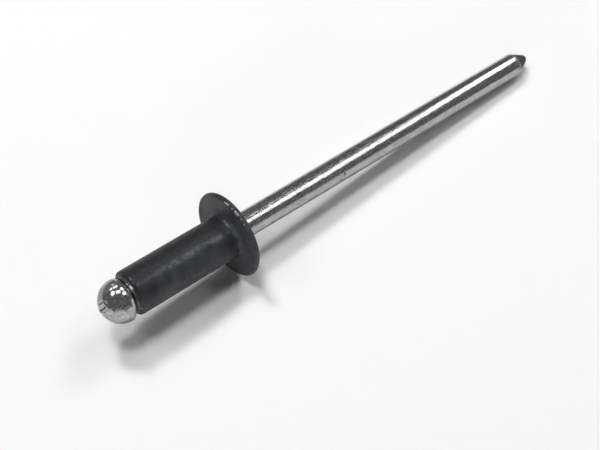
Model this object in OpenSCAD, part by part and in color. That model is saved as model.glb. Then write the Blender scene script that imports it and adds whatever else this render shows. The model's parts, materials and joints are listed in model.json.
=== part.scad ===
// Open-end blind rivet before it is set: a flanged tubular shell with a pulling mandrel through it.
// It lies on a table, on the rim of its flange and the shoulder of the mandrel's tail.
// The profiles below run along the rivet's own axis: z = 0 is the flange's underside,
// the shank and the mandrel's head are at z < 0, and the dome and the tail are at z > 0.

/* [Shell] */
// Diameter of the shank
shank_d = 3.2; // [3.0:0.1:4.4]
// Length of the shank under the flange
shank_l = 8.1; // [4:0.1:20]
// Round on the outer corner of the shank's end
end_r = 0.2; // [0.1:0.01:0.25]
// Height of the lip that is staked round the mandrel
lip_h = 0.24; // [0.1:0.01:0.3]
// Width of that lip's crest
lip_w = 0.06; // [0.02:0.01:0.08]

/* [Flange] */
// Diameter of the flange
flange_d = 6.2; // [5.2:0.1:10]
// Height of the flange at its crown
flange_h = 1; // [0.7:0.05:2]
// Height of the flange's rounded rim
rim_h = 0.4; // [0.2:0.02:0.6]
// Fillet between the shank and the flange
root_r = 0.3; // [0.05:0.01:0.4]
// Bevel on the edge of the hole in the crown
crown_bevel = 0.1; // [0.04:0.01:0.2]

/* [Mandrel] */
// Diameter of the stem
stem_d = 1.85; // [1.4:0.05:1.9]
// Gap between the stem and the shell's bore, on the radius
stem_gap = 0.05; // [0.02:0.01:0.08]
// Diameter of the domed head
head_d = 3.04; // [2.6:0.02:3.6]
// Gap between the head's back edge and the shank's end
head_gap = 0.6; // [0.4:0.02:1.2]
// Diameter of the head's conical seat at the shank's end
seat_d = 2.1; // [2.06:0.01:2.2]
// Diameter of the neck where the mandrel breaks
neck_d = 1.2; // [0.8:0.05:1.35]
// Depth of that neck's middle inside the shank
neck_depth = 1.6; // [1.2:0.1:3]
// Length of the neck's two cones together
neck_l = 0.9; // [0.4:0.1:1.2]

/* [Tail] */
// Distance from the flange's underside to the tip of the tail
reach = 30.4; // [20:0.1:50]
// Length of the tail's taper, without its bevelled tip
taper_l = 1.3; // [0.5:0.1:3]
// Diameter of the taper's small end
tip_d = 0.76; // [0.4:0.02:1]
// Bevel on the tip
tip_bevel = 0.14; // [0.04:0.01:0.18]

/* [Pinch mark on the head] */
// Length of the raised bar across the head's crown
nib_l = 0.8; // [0.4:0.05:1.2]
// Width of the bar
nib_w = 0.36; // [0.2:0.02:0.5]
// Height of the bar above the dome
nib_h = 0.06; // [0.02:0.01:0.1]
// Turn of the bar about the rivet's axis
nib_turn = 131; // [0:1:180]

/* [Hidden] */
$fn = 96;

shank_r = shank_d / 2;
flange_r = flange_d / 2;
stem_r = stem_d / 2;
bore_r = stem_r + stem_gap;
head_r = head_d / 2;
tip_r = tip_d / 2;

// The lip's outer flank leans in by this much of its height
lip_slope = 0.4;

// Places along the axis
end_z = -shank_l;
head_z = end_z - head_gap;
lip_z = end_z - lip_h;
neck_z = end_z + neck_depth;
tip_z = reach - tip_bevel;
shoulder_z = tip_z - taper_l;

// One cone is the seat for both pieces: its radius at any place along the axis, and the place of a radius
seat_slope = (head_r - seat_d / 2) / head_gap;
function seat_r(z) = seat_d / 2 + (end_z - z) * seat_slope;
function seat_z(r) = end_z - (r - seat_d / 2) / seat_slope;

// The rim is a full round, and the dome's arc meets it without a corner
rim_r = rim_h / 2;
rim_c = flange_r - rim_r;
dome_r = (rim_c ^ 2 + (flange_h - rim_r) ^ 2 - rim_r ^ 2) / (2 * (flange_h - rim_h));
dome_z = flange_h - dome_r;
rim_angle = atan2(rim_r - dome_z, rim_c);

// At rest the rim and the tail's shoulder touch the table, which sets the tilt and the height of the axis
rest_run = shoulder_z - rim_r;
rest_rise = rim_c - stem_r;
tilt = atan2(rest_rise, rest_run) + asin(rim_r / norm([rest_run, rest_rise]));
axis_h = rim_r + rim_r * sin(tilt) + rim_c * cos(tilt);

// Turn of both pieces about their axis: it puts the seam of the turned faces on the side, clear of the table
seam_turn = 84;

// The origin is under the middle of the whole length
tail_x = reach * cos(tilt) + (tip_r - tip_bevel) * sin(tilt);
nose_x = head_z * cos(tilt) - head_r - nib_h;
centre_x = -(tail_x + nose_x) / 2;

// Lays a piece from its own axis onto the table, head towards -X and tail towards +X.
module laid() {
  translate([centre_x, 0, axis_h])
    rotate([0, 90 + tilt, 0])
      rotate(seam_turn)
        children();
}

// What a round of radius r takes off an outer corner of a section, with its centre at the origin
module outer_round(r) {
  difference() {
    translate([0, -2 * r])
      square(2 * r);
    circle(r = r);
  }
}

// What the dome takes off the flange, and what the rim's round takes off past the line where they meet
module flange_rounds() {
  rim_centre = [rim_c, rim_r];
  outside = rim_centre + flange_d * [cos(rim_angle), sin(rim_angle)];
  difference() {
    translate([0, rim_r])
      square(flange_d);
    translate([0, dome_z])
      circle(r = dome_r, $fn = 360);
  }
  difference() {
    polygon([rim_centre, outside, [outside.x, -rim_r], [rim_c, -rim_r]]);
    translate(rim_centre)
      circle(r = rim_r);
  }
}

// Half section of the shell, first with sharp corners: crown, flange, shank, staked lip, seat and bore
module shell_section() {
  crown_z = dome_z + sqrt(dome_r ^ 2 - (bore_r + crown_bevel) ^ 2);
  difference() {
    polygon([
      [bore_r, crown_z - crown_bevel],
      [bore_r + 2 * crown_bevel, crown_z + crown_bevel],
      [flange_r, crown_z + crown_bevel],
      [flange_r, 0],
      [shank_r + root_r, 0],
      [shank_r, -root_r],
      [shank_r, end_z],
      [seat_r(lip_z) + lip_w + lip_h * lip_slope, end_z],
      [seat_r(lip_z) + lip_w, lip_z],
      [seat_r(lip_z), lip_z],
      [bore_r, seat_z(bore_r)],
    ]);
    flange_rounds();
    translate([shank_r + root_r, -root_r])
      circle(r = root_r);
    translate([shank_r - end_r, end_z + end_r])
      outer_round(end_r);
  }
}

module rivet_body() {
  color([0.05, 0.055, 0.06])
    laid()
      rotate_extrude()
        shell_section();
}

// Half section of the mandrel, first with a square head: head, seat, break neck, stem and tapered tail
module mandrel_section() {
  difference() {
    polygon([
      [0, head_z - head_r],
      [head_r, head_z - head_r],
      [head_r, head_z],
      [stem_r, seat_z(stem_r)],
      [stem_r, neck_z - neck_l / 2],
      [neck_d / 2, neck_z],
      [stem_r, neck_z + neck_l / 2],
      [stem_r, shoulder_z],
      [tip_r, tip_z],
      [tip_r - tip_bevel, reach],
      [0, reach],
    ]);
    translate([0, head_z])
      outer_round(head_r);
  }
}

// Low bar that the heading dies leave across the head's crown
module pinch_mark() {
  intersection() {
    translate([0, 0, head_z])
      sphere(r = head_r + nib_h);
    rotate(nib_turn)
      translate([-nib_l / 2, -nib_w / 2, head_z - head_d])
        cube([nib_l, nib_w, head_d]);
  }
}

module mandrel() {
  color([0.5, 0.51, 0.515])
    laid() {
      rotate_extrude()
        mandrel_section();
      pinch_mark();
    }
}

rivet_body();
mandrel();
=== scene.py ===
"""Looks of an open-end blind rivet before setting: a painted shell on a zinc-plated mandrel.
It lies on a pale floor, and the camera sees it as in the photograph."""
import json
import math

import bpy
import numpy as np
from mathutils import Matrix, Vector


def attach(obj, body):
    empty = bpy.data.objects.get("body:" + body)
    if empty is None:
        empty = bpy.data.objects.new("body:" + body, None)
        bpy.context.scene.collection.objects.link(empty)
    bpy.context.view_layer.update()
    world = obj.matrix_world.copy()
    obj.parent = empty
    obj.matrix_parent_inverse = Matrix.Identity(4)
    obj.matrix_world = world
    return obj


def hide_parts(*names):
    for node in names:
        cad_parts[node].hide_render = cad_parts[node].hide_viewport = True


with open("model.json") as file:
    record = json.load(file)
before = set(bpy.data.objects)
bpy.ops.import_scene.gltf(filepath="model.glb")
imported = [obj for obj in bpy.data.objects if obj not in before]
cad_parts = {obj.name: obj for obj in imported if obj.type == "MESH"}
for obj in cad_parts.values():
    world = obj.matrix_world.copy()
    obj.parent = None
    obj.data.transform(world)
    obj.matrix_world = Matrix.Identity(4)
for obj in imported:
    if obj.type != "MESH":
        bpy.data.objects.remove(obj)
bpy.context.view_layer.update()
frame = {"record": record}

# Profiles are in millimetres along the rivet's own axis, as in the part: z = 0 is the flange's underside,
# the head is at z < 0 and the tail at z > 0.
MM = 0.001

# Lengths below this count as nothing
TINY = 1e-6

# Shell
SHANK_R = 1.6
SHANK_END = -8.1
END_ROUND = 0.2
LIP_H = 0.24
LIP_W = 0.06
LIP_SLOPE = 0.4
LIP_ROUND = 0.035
FLANGE_R = 3.14
FLANGE_H = 1.0
RIM_R = 0.2
ROOT_ROUND = 0.3
CROWN_BEVEL = 0.1
CROWN_ROUND = 0.03
BORE_R = 0.975
# Where the shell's section starts and ends in the bore, from the seat's narrow end
BORE_START = 2.0

# Mandrel. Behind its dome the head has a short land that narrows towards the seat.
STEM_R = 0.925
HEAD_R = 1.52
HEAD_GAP = 0.6
HEAD_LAND = 0.2
HEAD_LAND_SLOPE = 0.5
HEAD_BACK_ROUND = 0.03
HEAD_EDGE_ROUND = 0.06
SEAT_R = 1.05
# How far outside the lip the head's back meets the seat
SEAT_CLEAR = 0.02
NECK_R = 0.6
NECK_DEPTH = 1.6
NECK_L = 0.9
REACH = 30.4
TAPER_L = 1.24
SHOULDER_ROUND = 0.6
TIP_R = 0.32
TIP_BEVEL = 0.2
TIP_ROUND = 0.05
TIP_END_R = 0.14

# Rounds on the edges where the two pieces meet, and on the small corners of the seat, neck and tip
SEAT_EDGE_ROUND = 0.01
FINE_ROUND = 0.02

# Places along the axis
HEAD_Z = SHANK_END - HEAD_GAP
LIP_Z = SHANK_END - LIP_H
NECK_Z = SHANK_END + NECK_DEPTH
TIP_Z = REACH - TIP_BEVEL
SHOULDER_Z = TIP_Z - TAPER_L

# Each mesh has this many faces round the axis, and rings at most this far apart
SHELL_SEGMENTS = 360
SHELL_STEP = 0.12
MANDREL_SEGMENTS = 288
MANDREL_STEP = 0.6

# Steps in the flange's dome and rim and in the outer part of the head's dome, and the degrees of both domes
# that stay free for the round beside them
DOME_STEPS = 24
RIM_STEPS = 16
HEAD_STEPS = 34
DOME_GAP = 0.5
HEAD_DOME_GAP = 1.0

# Pinch mark on the head's crown: a raised bar with a slot in it, both along one line across the crown.
# Each stretch is (from, to), along that line or across it.
PINCH_TURN = math.radians(33)
BAR_ALONG = (-0.2, 0.84)
BAR_ACROSS = (-0.41, 0.12)
BAR_H = 0.05
SLOT_ALONG = (-0.12, 0.68)
SLOT_ACROSS = (-0.11, -0.03)
SLOT_DEPTH = 0.09
PINCH_SOFT = 0.02
BEAD = (0.88, -0.31)
BEAD_R = 0.07
BEAD_H = 0.055
# Up to this many degrees from the crown the dome has rings close enough for the mark, and how many
PINCH_ANGLE = 36
PINCH_RINGS = 130

# Soil and painted shade on the dome. The dark lines in the pinch slot and along the pinch bar's sides are
# painted shade,
# the broad dim patch towards the dome's edge is a painted darker reflection, and the small flecks are soil:
# (along, across, half length, half width, amount)
DOME_SOIL_AND_SHADE = (
    (0.28, -0.07, 0.40, 0.045, 0.85),
    (0.40, -0.435, 0.42, 0.045, 0.9),
    (0.36, 0.135, 0.24, 0.025, 0.7),
    (0.955, 0.31, 0.055, 0.12, 1.0),
    (1.24, 0.43, 0.09, 0.05, 0.5),
    (1.33, 0.62, 0.04, 0.07, 0.45),
    (0.52, 0.52, 0.06, 0.035, 0.5),
    (1.18, 0.80, 0.03, 0.05, 0.4),
    (1.02, 0.55, 0.03, 0.03, 0.35),
    (0.70, 0.90, 0.05, 0.03, 0.3),
    (-0.25, -1.05, 1.00, 0.35, 0.33),
)

# Painted shade on one side of the tail's taper, a darker reflection painted on the metal: the turn of that
# side about the axis, where the shade starts from the shoulder and how softly, and the same for its edge
# across the tail
TAIL_SHADE_TURN = math.radians(-30)
TAIL_SHADE_START = -0.02
TAIL_SHADE_START_SOFT = 0.2
TAIL_SHADE_EDGE = -0.25
TAIL_SHADE_EDGE_SOFT = 0.2

# Scratches on the stem with soil in them, given as the shell's wear is below, the stretch that has rings
# close enough for them, and how many
SCRATCHES = (
    (67, 10.12, 0.925, 0.16, 0.06, 1.0),
    (94, 9.80, 0.925, 0.08, 0.06, 0.9),
)
SCRATCHED = (9.65, 10.35)
SCRATCH_RINGS = 17

# Towards the tail the wire is smoother: how far, and the middle and half length of that change
TAIL_POLISH = 0.8
TAIL_POLISH_Z = 20.0
TAIL_POLISH_SOFT = 7.0

# The head sits a little off the stem's axis and the tail is cut a little askew: (along, upward, sideways)
HEAD_SHIFT = (-0.06, -0.049, 0.075)
TAIL_SHIFT = (0.08, -0.03, -0.06)

# Wear on the shell's paint, worn through to the metal:
# (turn about the axis in degrees, z, r, half length round the axis, half width, amount)
CHIPS = (
    (-2, 0.04, 3.04, 0.24, 0.06, 1.0),
    (1, 0.07, 3.08, 0.08, 0.035, 1.0),
    (9, 0.05, 3.06, 0.09, 0.05, 1.0),
    (17, 0.05, 3.06, 0.24, 0.09, 1.05),
    (20, 0.09, 3.10, 0.10, 0.04, 1.0),
    (26, 0.07, 3.08, 0.16, 0.045, 0.95),
    (34, 0.06, 3.07, 0.09, 0.045, 0.95),
    (24, -8.24, 1.34, 0.16, 0.09, 1.5),
    (29, -8.26, 1.33, 0.06, 0.05, 1.0),
    (8, -8.33, 1.30, 0.06, 0.04, 0.9),
)
# Places where the paint is lighter, given the same way, with the grain of rubbed paint: painted highlights
# along the barrel's streak, on the round at the flange's root and on the end's corner and lip, and painted
# light in the shade at the flange's root, on the flange's underside and round the lip
RUBS_AND_PAINTED_LIGHT = (
    (28, -4.1, 1.6, 0.20, 3.2, 0.24),
    (29, -1.5, 1.6, 0.22, 0.9, 0.27),
    (8, -0.26, 1.62, 0.26, 0.08, 0.8),
    (16, -0.22, 1.64, 0.20, 0.06, 0.7),
    (6, -8.02, 1.56, 0.16, 0.05, 1.1),
    (16, -8.02, 1.56, 0.09, 0.05, 1.0),
    (31, -8.32, 1.30, 0.12, 0.06, 0.7),
    (105, 0.0, 2.4, 2.6, 0.9, 0.12),
    (75, -0.1, 1.75, 1.4, 0.35, 0.17),
    (95, -8.12, 1.45, 0.14, 0.12, 0.5),
    (27, -7.83, 1.6, 0.08, 0.10, 0.6),
    (40, -8.30, 1.28, 2.20, 0.12, 0.45),
)
# Places with a lighter dusty film, given the same way: a dusty look, and painted light on the sides that
# the lamps leave darker, the barrel's lower side and the flange's underside
DUST_AND_PAINTED_LIGHT = (
    (80, -4.2, 1.6, 1.3, 4.4, 1.1),
    (-50, 0.0, 2.5, 1.3, 0.6, 1.4),
    (90, 0.0, 2.4, 4.0, 0.9, 2.2),
)
# A spot keeps its full amount to half its size, and fades to nothing at this many times its size
SPOT_REACH = 1.5

# The photograph's camera: its lens for a 36 mm sensor, where it looks from, and where the middle of the
# flange's underside is in the 600 x 450 picture, with its depth in metres.
IMAGE_W = 600
IMAGE_H = 450
SENSOR_W = 36.0
LENS = 75.0
LOOK_DOWN = math.radians(50.2)
LOOK_ROUND = math.radians(41.4)
FLANGE_PIXEL = (226.4, 235.8)
FLANGE_DEPTH = 0.08435
CLIP_START = 0.005

# The place of the rivet's axis comes from the frame
SEAT = next(m for m in frame["record"]["mounts"] if m["name"] == "flange_seat")
AXIS = -Vector(SEAT["axis"]).normalized()
ORIGIN = Vector((SEAT["pos_m"][0], 0, SEAT["pos_m"][2]))
SIDE = Vector((0, -1, 0))
UPWARD = SIDE.cross(AXIS)


def arc(centre_z, centre_r, radius, start, end, steps):
    """Corners of an arc in a profile. Angles are in degrees from the axis's +z towards growing r."""
    angles = np.radians(np.linspace(start, end, steps + 1))
    return [(centre_z + radius * math.cos(a), centre_r + radius * math.sin(a), 0) for a in angles]


def rounded(corners, steps=6):
    """Profile points (z, r) through corners (z, r, round), where each round is the radius of an arc."""
    points = [corners[0][:2]]
    for before, corner, after in zip(corners, corners[1:], corners[2:]):
        here = Vector(corner[:2])
        if not corner[2]:
            points.append(tuple(here))
            continue
        back = (Vector(before[:2]) - here).normalized()
        ahead = (Vector(after[:2]) - here).normalized()
        half = back.angle(ahead) / 2
        middle = here + (back + ahead).normalized() * corner[2] / math.sin(half)
        reach = corner[2] / math.tan(half)
        first = here + back * reach - middle
        last = here + ahead * reach - middle
        sweep = math.pi - 2 * half
        for i in range(steps + 1):
            part = first * math.sin(sweep * (1 - i / steps)) + last * math.sin(sweep * i / steps)
            points.append(tuple(middle + part / math.sin(sweep)))
    points.append(corners[-1][:2])
    return points


def refined(points, longest):
    """The same profile with no stretch longer than longest."""
    made = [points[0]]
    for a, b in zip(points, points[1:]):
        count = max(1, math.ceil(math.dist(a, b) / longest))
        made += [tuple(np.array(a) + (np.array(b) - np.array(a)) * i / count) for i in range(1, count + 1)]
    return made


def turned(profile, segments, closed):
    """Places (z, upward, sideways) and faces of a profile that is turned about the axis."""
    turn = np.linspace(0, 2 * math.pi, segments, endpoint=False)
    places = []
    rings = []
    for z, r in profile[:-1] if closed else profile:
        start = len(places)
        if r < TINY:
            places.append((z, 0, 0))
            rings.append([start] * segments)
        else:
            places += [(z, r * math.cos(a), r * math.sin(a)) for a in turn]
            rings.append(list(range(start, start + segments)))
    if closed:
        rings.append(rings[0])
    faces = []
    for ring, following in zip(rings, rings[1:]):
        for i in range(segments):
            j = (i + 1) % segments
            corners = [ring[i], ring[j], following[j], following[i]]
            faces.append([c for k, c in enumerate(corners) if c not in corners[:k]])
    return np.array(places), faces


def lathe(name, profile, segments, shape, closed=False):
    """Turned piece about the rivet's axis. shape takes an array of places, and gives the moved places and
    marks on them by name. The mesh keeps both as point attributes, the places as place in millimetres."""
    places, faces = turned(profile, segments, closed)
    moved, marks = shape(places)
    basis = np.array([AXIS, UPWARD, SIDE])
    mesh = bpy.data.meshes.new(name)
    mesh.from_pydata(np.array(ORIGIN) + moved @ basis * MM, [], faces)
    mesh.polygons.foreach_set("use_smooth", [True] * len(faces))
    stored = mesh.attributes.new("place", "FLOAT_VECTOR", "POINT")
    stored.data.foreach_set("vector", moved.ravel())
    for mark, amounts in marks.items():
        mesh.attributes.new(mark, "FLOAT", "POINT").data.foreach_set("value", amounts)
    mesh.update()
    piece = bpy.data.objects.new(name, mesh)
    bpy.context.collection.objects.link(piece)
    return piece


def seat_r(z):
    """Radius of the cone on which the head sits in the shell's mouth."""
    return SEAT_R + (SHANK_END - z) * (HEAD_R - SEAT_R) / HEAD_GAP


def seat_z(r):
    """Where that cone has the radius r."""
    return SHANK_END - (r - SEAT_R) * HEAD_GAP / (HEAD_R - SEAT_R)


def shell_profile():
    """Closed section of the shell, from inside the bore over crown, flange, shank and lip to the seat."""
    rim_c = FLANGE_R - RIM_R
    dome_r = (rim_c ** 2 + (FLANGE_H - RIM_R) ** 2 - RIM_R ** 2) / (2 * (FLANGE_H - 2 * RIM_R))
    dome_z = FLANGE_H - dome_r
    crown_r = BORE_R + CROWN_BEVEL
    crown = math.degrees(math.asin(crown_r / dome_r))
    crown_z = dome_z + dome_r * math.cos(math.radians(crown))
    meet = math.degrees(math.atan2(rim_c, RIM_R - dome_z))
    lip_r = seat_r(LIP_Z) + LIP_W
    in_bore = (seat_z(BORE_R) + BORE_START, BORE_R, 0)
    corners = [
        in_bore,
        (crown_z - CROWN_BEVEL, BORE_R, CROWN_ROUND),
        (crown_z, crown_r, CROWN_ROUND),
        *arc(dome_z, 0, dome_r, crown + DOME_GAP, meet, DOME_STEPS),
        *arc(RIM_R, rim_c, RIM_R, meet, 180, RIM_STEPS)[1:],
        (0, SHANK_R, ROOT_ROUND),
        (SHANK_END, SHANK_R, END_ROUND),
        (SHANK_END, lip_r + LIP_H * LIP_SLOPE, LIP_ROUND),
        (LIP_Z, lip_r, LIP_ROUND),
        (LIP_Z, seat_r(LIP_Z), SEAT_EDGE_ROUND),
        (seat_z(BORE_R), BORE_R, FINE_ROUND),
        in_bore,
    ]
    return refined(rounded(corners), SHELL_STEP)


def mandrel_profile():
    """Section of the mandrel from the head's crown over the seat, neck and stem to the tip."""
    fine_end = 180 - PINCH_ANGLE
    seat_start = LIP_Z - SEAT_CLEAR
    corners = [
        *arc(HEAD_Z, 0, HEAD_R, 180, fine_end, PINCH_RINGS),
        *arc(HEAD_Z, 0, HEAD_R, fine_end, 90 + HEAD_DOME_GAP, HEAD_STEPS)[1:],
        (HEAD_Z, HEAD_R, HEAD_BACK_ROUND),
        (HEAD_Z + HEAD_LAND, HEAD_R - HEAD_LAND_SLOPE * HEAD_LAND, HEAD_EDGE_ROUND),
        (seat_start, seat_r(seat_start), SEAT_EDGE_ROUND),
        (seat_z(STEM_R), STEM_R, FINE_ROUND),
        (NECK_Z - NECK_L / 2, STEM_R, FINE_ROUND),
        (NECK_Z, NECK_R, FINE_ROUND),
        (NECK_Z + NECK_L / 2, STEM_R, FINE_ROUND),
        *[(z, STEM_R, 0) for z in np.linspace(*SCRATCHED, SCRATCH_RINGS)],
        (SHOULDER_Z, STEM_R, SHOULDER_ROUND),
        (TIP_Z, TIP_R, TIP_ROUND),
        (REACH, TIP_END_R, FINE_ROUND),
        (REACH, 0, 0),
    ]
    return refined(rounded(corners), MANDREL_STEP)


def smooth_step(x, middle, soft):
    """0 up to soft before the middle, 1 from soft after it, and smooth in between."""
    t = np.clip((x - middle) / (2 * soft) + 0.5, 0, 1)
    return t * t * (3 - 2 * t)


def between(x, stretch, soft):
    """1 inside a stretch and 0 outside it, with soft ends."""
    return smooth_step(x, stretch[0], soft) * (1 - smooth_step(x, stretch[1], soft))


def fade(away):
    """How much of a spot is left at a distance from its middle, which is given in the spot's own sizes."""
    return np.clip(SPOT_REACH - away, 0, 1)


def patches(places, spots):
    """How far each place lies in the spots, from 0 outside them to their amount in their middle."""
    found = np.zeros(len(places))
    turn = np.arctan2(places[:, 2], places[:, 1])
    radius = np.hypot(places[:, 1], places[:, 2])
    for degrees, z, r, half_length, half_width, amount in spots:
        away = (turn - math.radians(degrees) + math.pi) % (2 * math.pi) - math.pi
        length = r * away / half_length
        width = np.hypot(places[:, 0] - z, radius - r) / half_width
        found = np.maximum(found, amount * fade(np.hypot(length, width)))
    return found


def pinch_rise(along, across):
    """Height of the pinch mark above the dome: its bar, the slot in that and the bead at its end."""
    bar = between(along, BAR_ALONG, PINCH_SOFT) * between(across, BAR_ACROSS, PINCH_SOFT)
    slot = between(along, SLOT_ALONG, PINCH_SOFT) * between(across, SLOT_ACROSS, PINCH_SOFT)
    bead = np.maximum(1 - ((along - BEAD[0]) ** 2 + (across - BEAD[1]) ** 2) / BEAD_R ** 2, 0)
    return BAR_H * bar - SLOT_DEPTH * slot + BEAD_H * bead


def dome_soil_and_shade(along, across):
    """Amount of soil and painted shade on the dome."""
    soil_and_shade = np.zeros(len(along))
    for middle_along, middle_across, half_length, half_width, amount in DOME_SOIL_AND_SHADE:
        away = np.hypot((along - middle_along) / half_length, (across - middle_across) / half_width)
        soil_and_shade = np.maximum(soil_and_shade, amount * fade(away))
    return soil_and_shade


def painted_tail_shade(places):
    """Amount of painted shade on one side of the tail's taper."""
    side = places[:, 1] * math.cos(TAIL_SHADE_TURN) + places[:, 2] * math.sin(TAIL_SHADE_TURN)
    past_shoulder = smooth_step(places[:, 0], SHOULDER_Z + TAIL_SHADE_START, TAIL_SHADE_START_SOFT)
    return past_shoulder * smooth_step(side, TAIL_SHADE_EDGE, TAIL_SHADE_EDGE_SOFT)


def headed(places):
    """Shifts the mandrel's head and tail, and puts the pinch mark on the head.
    Marks the soil and the painted shade, and the smoother head and tail."""
    along = places[:, 1] * math.cos(PINCH_TURN) + places[:, 2] * math.sin(PINCH_TURN)
    across = places[:, 2] * math.cos(PINCH_TURN) - places[:, 1] * math.sin(PINCH_TURN)
    on_dome = places[:, 0] < HEAD_Z
    rise = np.where(on_dome, pinch_rise(along, across), 0)
    outward = places - np.array([HEAD_Z, 0, 0])
    outward = outward / np.maximum(np.linalg.norm(outward, axis=1), TINY)[:, None]
    head = smooth_step(-places[:, 0], -(LIP_Z + HEAD_Z) / 2, (LIP_Z - HEAD_Z) / 2)
    tail = np.clip((places[:, 0] - SHOULDER_Z) / (REACH - SHOULDER_Z), 0, 1)
    shift = head[:, None] * np.array(HEAD_SHIFT) + tail[:, None] * np.array(TAIL_SHIFT)
    # The tail's dark side is painted shade; the scratches hold soil
    stem_soil_and_shade = np.maximum(painted_tail_shade(places), patches(places, SCRATCHES))
    tail_polish = TAIL_POLISH * smooth_step(places[:, 0], TAIL_POLISH_Z, TAIL_POLISH_SOFT)
    return places + outward * rise[:, None] + shift, {
        "soil_and_shade": np.where(on_dome, dome_soil_and_shade(along, across), stem_soil_and_shade),
        "polish": np.maximum(head, tail_polish),
    }


def worn_and_lit(places):
    """Leaves the shell's places as they are, and marks the wear on its paint, and its painted light and
    highlights as rubs and dust.
    """
    return places, {
        "bare": patches(places, CHIPS),
        "rub_and_light": patches(places, RUBS_AND_PAINTED_LIGHT),
        "dust_and_light": patches(places, DUST_AND_PAINTED_LIGHT),
    }


def node(tree, kind, values=None, **settings):
    """Adds a node. values sets its inputs by name or number, from a value or from another node's output."""
    made = tree.nodes.new(kind)
    for name, value in settings.items():
        setattr(made, name, value)
    for name, value in (values or {}).items():
        if isinstance(value, bpy.types.NodeSocket):
            tree.links.new(value, made.inputs[name])
        else:
            made.inputs[name].default_value = value
    return made


def new_material(name):
    """A material with an empty tree, and its output node."""
    material = bpy.data.materials.new(name)
    material.use_nodes = True
    material.node_tree.nodes.clear()
    return material, material.node_tree, node(material.node_tree, "ShaderNodeOutputMaterial")


def noise(tree, along, across, detail):
    """Noise over the piece, with along and across spans to a millimetre along the axis and across it."""
    place = node(tree, "ShaderNodeAttribute", attribute_name="place").outputs["Vector"]
    scale = (along, across, across)
    scaled = node(tree, "ShaderNodeVectorMath", {0: place, 1: scale}, operation="MULTIPLY")
    values = {"Vector": scaled.outputs["Vector"], "Scale": 1.0, "Detail": detail}
    return node(tree, "ShaderNodeTexNoise", values).outputs["Fac"]


def spread(tree, value, low, high, start=0.0, end=1.0):
    """Maps low..high of a value to start..end."""
    return node(
        tree, "ShaderNodeMapRange",
        {"Value": value, "From Min": low, "From Max": high, "To Min": start, "To Max": end},
    ).outputs["Result"]


def mixed(tree, factor, a, b):
    """Colour a where factor is 0, and b where it is 1."""
    return node(tree, "ShaderNodeMix", {0: factor, 6: a, 7: b}, data_type="RGBA").outputs[2]


def bump(tree, height, depth, below=None):
    """Normal of a height, of which a step of 1 is depth millimetres, over the bump below it."""
    values = {"Height": height, "Distance": depth * MM, "Strength": 1.0}
    if below:
        values["Normal"] = below
    return node(tree, "ShaderNodeBump", values).outputs["Normal"]


def mark_of(tree, name):
    """One of the marks that the piece's mesh keeps."""
    return node(tree, "ShaderNodeAttribute", attribute_name=name).outputs["Fac"]


def math_of(tree, operation, a, b):
    """Result of an operation on two values."""
    return node(tree, "ShaderNodeMath", {0: a, 1: b}, operation=operation).outputs["Value"]


# Black paint: its colours, those of what lies on it, of its painted light and highlights and of the metal
# under it, and its finish, with the depths of its marks in millimetres
PAINT_DARKEST = (0.0088, 0.0110, 0.0130, 1)
PAINT_DARK = (0.0125, 0.0153, 0.0175, 1)
PAINT_GRAIN = (0.031, 0.0355, 0.040, 1)
PAINT_DUST_AND_LIGHT = (0.053, 0.062, 0.070, 1)
PAINT_RUBBED_AND_LIT = (0.32, 0.35, 0.375, 1)
METAL_DULL = (0.55, 0.56, 0.56, 1)
METAL_FRESH = (0.95, 0.95, 0.95, 1)
PAINT_ROUGH = (0.38, 0.5)
PAINT_SPECULAR = 0.25
GRAIN_DEPTH = 0.013
PEEL_DEPTH = 0.02


def black_paint():
    """Satin paint with a fine grain, worn to the metal at the chips, with painted highlights and painted
    light as lighter rubbed and dusty patches.
    """
    material, tree, output = new_material("black_paint")
    cloud = noise(tree, along=0.9, across=0.9, detail=4)
    grain = noise(tree, along=11, across=11, detail=4)
    peel = noise(tree, along=3.2, across=3.2, detail=2)
    jagged = noise(tree, along=13, across=13, detail=3)
    patchy = noise(tree, along=2.6, across=2.6, detail=2)
    chip = mark_of(tree, "bare")
    dark = mixed(tree, spread(tree, cloud, 0.35, 0.7), PAINT_DARKEST, PAINT_DARK)
    paint = mixed(tree, spread(tree, grain, 0.42, 0.78), dark, PAINT_GRAIN)
    # Painted light: the dusty colour lifts the sides that the lamps leave darker
    dusty_and_lit = math_of(tree, "MULTIPLY", mark_of(tree, "dust_and_light"), spread(tree, cloud, 0.2, 0.7))
    soft = mixed(tree, dusty_and_lit, paint, PAINT_DUST_AND_LIGHT)
    # Painted highlights and painted light, laid on as lighter rubbed paint
    rub_and_light_grain = math_of(tree, "ADD", jagged, patchy)
    rubbed_and_lit = math_of(tree, "MULTIPLY", mark_of(tree, "rub_and_light"), spread(tree, rub_and_light_grain, 0.85, 1.3))
    colour = mixed(tree, rubbed_and_lit, soft, PAINT_RUBBED_AND_LIT)
    bare = spread(tree, math_of(tree, "ADD", chip, jagged), 1.0, 1.12)
    metal = mixed(tree, spread(tree, chip, 1.05, 1.2), METAL_DULL, METAL_FRESH)
    shader = node(
        tree, "ShaderNodeBsdfPrincipled",
        {
            "Base Color": mixed(tree, bare, colour, metal),
            "Metallic": bare,
            "Roughness": spread(tree, grain, 0.3, 0.7, *PAINT_ROUGH),
            "Specular IOR Level": PAINT_SPECULAR,
            "Normal": bump(tree, grain, GRAIN_DEPTH, bump(tree, peel, PEEL_DEPTH)),
        },
    )
    tree.links.new(shader.outputs["BSDF"], output.inputs["Surface"])
    return material


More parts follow.
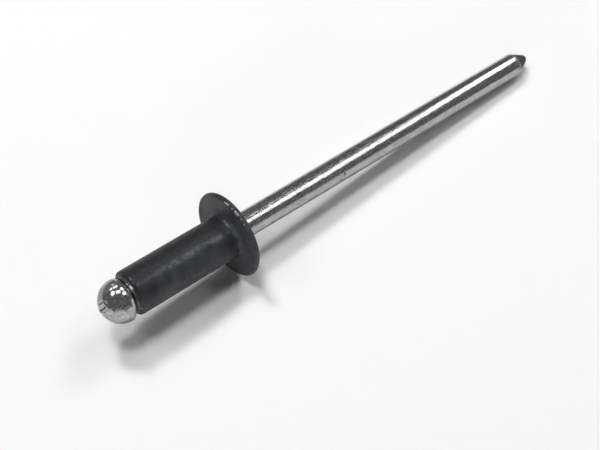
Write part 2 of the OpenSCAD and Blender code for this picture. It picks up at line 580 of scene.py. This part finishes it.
# Zinc plating: colours of the drawn wire, of the smoother head and tail and of soil and painted shade, and
# the finish, with the depths of its marks in millimetres
PLATE_DARK = (0.32, 0.335, 0.345, 1)
PLATE_LIGHT = (0.44, 0.45, 0.445, 1)
SMOOTH_DARK = (0.31, 0.32, 0.315, 1)
SMOOTH_LIGHT = (0.49, 0.50, 0.49, 1)
# The next colour is soil in the scratches and flecks, and painted shade in the pinch slot, along the pinch
# bar, at the dome's edge and on the tail's taper
SOIL_AND_SHADE_COLOUR = (0.053, 0.055, 0.052, 1)
PLATE_ROUGH = (0.08, 0.36)
SMOOTH_ROUGH = (0.05, 0.18)
SOIL_AND_SHADE_ROUGH = 0.75
PLATE_SPECULAR = 0.2
PLATE_TINT = (0.72, 0.74, 0.76, 1)
MOTTLE_DEPTH = 0.0036
UNEVEN_DEPTH = 0.0022
# How much of the mottle is left where the wire is smooth
SMOOTH_MOTTLE = 0.25


def zinc_plating():
    """Bright drawn wire with an uneven plating, smoother on the head and tail, with soil in its marks and
    painted shade in the pinch slot, along the pinch bar, at the dome's edge and on the tail's taper.
    """
    material, tree, output = new_material("zinc_plated_steel")
    drawn = noise(tree, along=1.8, across=18, detail=3)
    uneven = noise(tree, along=3.5, across=5.0, detail=3)
    pitted = noise(tree, along=9.0, across=12.0, detail=3)
    cloud = noise(tree, along=1.6, across=2.4, detail=4)
    blotch = noise(tree, along=4.0, across=4.5, detail=2)
    polish = mark_of(tree, "polish")
    soil_and_shade = mark_of(tree, "soil_and_shade")
    plate = mixed(tree, spread(tree, cloud, 0.35, 0.65), PLATE_DARK, PLATE_LIGHT)
    smooth = mixed(tree, spread(tree, blotch, 0.36, 0.66), SMOOTH_DARK, SMOOTH_LIGHT)
    clean = mixed(tree, polish, plate, smooth)
    mottle = math_of(tree, "ADD", drawn, pitted)
    plate_rough = spread(tree, mottle, 0.86, 1.25, *PLATE_ROUGH)
    smooth_rough = spread(tree, pitted, 0.4, 0.65, *SMOOTH_ROUGH)
    rough = spread(tree, polish, 0, 1, plate_rough, smooth_rough)
    fine = math_of(tree, "MULTIPLY", mottle, spread(tree, polish, 0, 1, 1, SMOOTH_MOTTLE))
    shader = node(
        tree, "ShaderNodeBsdfPrincipled",
        {
            "Base Color": mixed(tree, soil_and_shade, clean, SOIL_AND_SHADE_COLOUR),
            "Metallic": spread(tree, soil_and_shade, 0, 1, 1, 0),
            "Roughness": spread(tree, soil_and_shade, 0, 1, rough, SOIL_AND_SHADE_ROUGH),
            "Specular IOR Level": PLATE_SPECULAR,
            "Specular Tint": PLATE_TINT,
            "Normal": bump(tree, fine, MOTTLE_DEPTH, bump(tree, uneven, UNEVEN_DEPTH)),
        },
    )
    tree.links.new(shader.outputs["BSDF"], output.inputs["Surface"])
    return material


# Floor, with its side in metres
FLOOR_SIZE = 4.0
FLOOR_GREY = 0.93
FLOOR_ROUGH = 0.9
FLOOR_SPECULAR = 0.1


def white_floor():
    """Matt white."""
    material, tree, output = new_material("white_floor")
    shader = node(
        tree, "ShaderNodeBsdfPrincipled",
        {
            "Base Color": (FLOOR_GREY, FLOOR_GREY, FLOOR_GREY, 1),
            "Roughness": FLOOR_ROUGH,
            "Specular IOR Level": FLOOR_SPECULAR,
        },
    )
    tree.links.new(shader.outputs["BSDF"], output.inputs["Surface"])
    return material


def add_floor():
    """A square floor under the rivet, as part of the stage."""
    half = FLOOR_SIZE / 2
    corners = [(-half, -half, 0), (half, -half, 0), (half, half, 0), (-half, half, 0)]
    mesh = bpy.data.meshes.new("floor")
    mesh.from_pydata(corners, [], [(0, 1, 2, 3)])
    mesh.materials.append(white_floor())
    floor = bpy.data.objects.new("floor", mesh)
    bpy.context.collection.objects.link(floor)


# Ceiling lamps, which don't show in gloss: (x, y, width, length, how bright it alone makes the floor).
# Places and sizes are in heights of the ceiling, which is in metres.
CEILING = 0.5
PANEL_TURN = math.radians(65)
LAMPS = (
    (0.0, 0.50, 0.20, 0.20, 0.280),
    (-0.15, 0.03, 0.20, 0.20, 0.265),
    (0.60, -0.43, 0.35, 0.35, 0.075),
    (0.15, 0.38, 0.22, 0.22, 0.08),
    (0.75, 0.0, 0.30, 0.30, 0.07),
    (-0.75, 0.47, 0.30, 0.30, 0.07),
    (1.05, 0.15, 0.35, 0.35, 0.065),
    (0.15, 0.80, 0.24, 0.24, 0.03),
    (-3.8, -2.6, 1.20, 1.20, 0.03),
)
# Panes that only show in gloss: how bright they are, the lower ceiling that they hang from, and for each
# (x, y, width, length) in heights of that ceiling
GLEAM = 4.2
PANE_CEILING = 0.48
GLEAMS = (
    (-0.34, 1.09, 0.30, 0.30),
    (0.18, 1.65, 0.24, 0.36),
    (0.07, 0.81, 0.23, 0.38),
    (-0.08, 0.14, 0.24, 0.33),
    (-0.51, 0.43, 0.36, 0.36),
    (0.36, 0.18, 0.28, 0.28),
    (0.25, -0.24, 0.27, 0.27),
    (0.72, -0.38, 0.55, 0.33),
    (1.06, 0.17, 0.75, 0.34),
)


def add_panel(x, y, wide, deep, ceiling):
    """A rectangular lamp on the ceiling that faces down."""
    light = bpy.data.lights.new("panel", "AREA")
    light.shape = "RECTANGLE"
    light.size = wide * ceiling
    light.size_y = deep * ceiling
    lamp = bpy.data.objects.new("panel", light)
    lamp.location = Vector((x, y, 1)) * ceiling
    lamp.rotation_euler = (0, 0, PANEL_TURN)
    bpy.context.collection.objects.link(lamp)
    return lamp


def add_light():
    """The lamps and the panes."""
    for x, y, wide, deep, bright in LAMPS:
        lamp = add_panel(x, y, wide, deep, CEILING)
        # Light on the floor falls with the square of the distance, and with the cosine at both ends
        lamp.data.energy = bright * math.pi ** 2 * lamp.location.length ** 4 / CEILING ** 2 / FLOOR_GREY
        lamp.visible_glossy = False
    for x, y, wide, deep in GLEAMS:
        lamp = add_panel(x, y, wide, deep, PANE_CEILING)
        lamp.data.energy = GLEAM * math.pi * wide * deep * PANE_CEILING ** 2
        lamp.visible_diffuse = False


# A dim even room that only shows in gloss, with a soft light stretch low down on the camera's side:
# the colours of both, where the middle of that stretch is, and the cosines from there at which it starts
# and is full
ROOM = (0.186, 0.198, 0.212, 1)
LOW_LIGHT = (0.70, 0.70, 0.70, 1)
LOW_LIGHT_AIM = (-0.60, -0.72, -0.35)
LOW_LIGHT_EDGE = (0.84, 0.90)


def add_world():
    """The room round the rivet."""
    world = bpy.data.worlds.new("room")
    world.use_nodes = True
    tree = world.node_tree
    aim = Vector(LOW_LIGHT_AIM).normalized()
    way = node(tree, "ShaderNodeTexCoord").outputs["Generated"]
    near = node(tree, "ShaderNodeVectorMath", {0: way, 1: aim}, operation="DOT_PRODUCT").outputs["Value"]
    colour = mixed(tree, spread(tree, near, *LOW_LIGHT_EDGE), ROOM, LOW_LIGHT)
    background = tree.nodes["Background"]
    tree.links.new(colour, background.inputs["Color"])
    background.inputs["Strength"].default_value = 1.0
    world.cycles_visibility.diffuse = False
    bpy.context.scene.world = world


def add_camera():
    """The photograph's camera, placed so that the flange's middle falls on its pixel."""
    ahead = Vector((math.sin(LOOK_ROUND), math.cos(LOOK_ROUND), 0))
    right = Vector((math.cos(LOOK_ROUND), -math.sin(LOOK_ROUND), 0))
    forward = ahead * math.cos(LOOK_DOWN) - Vector((0, 0, math.sin(LOOK_DOWN)))
    up = right.cross(forward)
    focal = LENS / SENSOR_W * IMAGE_W
    across = (FLANGE_PIXEL[0] - IMAGE_W / 2) / focal
    down = (FLANGE_PIXEL[1] - IMAGE_H / 2) / focal
    data = bpy.data.cameras.new("camera")
    data.sensor_fit = "HORIZONTAL"
    data.sensor_width = SENSOR_W
    data.lens = LENS
    data.clip_start = CLIP_START
    camera = bpy.data.objects.new("camera", data)
    turn = Matrix((right, up, -forward)).transposed()
    camera.matrix_world = Matrix.Translation(
        ORIGIN - FLANGE_DEPTH * (across * right - down * up + forward)
    ) @ turn.to_4x4()
    bpy.context.collection.objects.link(camera)
    bpy.context.scene.camera = camera


shell = lathe("shell", shell_profile(), SHELL_SEGMENTS, worn_and_lit, closed=True)
shell.data.materials.append(black_paint())
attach(shell, "root")
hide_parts("rivet_body")

pin = lathe("pulling_mandrel", mandrel_profile(), MANDREL_SEGMENTS, headed)
pin.data.materials.append(zinc_plating())
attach(pin, "root")
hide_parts("mandrel")

add_floor()
add_light()
add_world()
add_camera()
bpy.context.scene.view_settings.view_transform = "Standard"
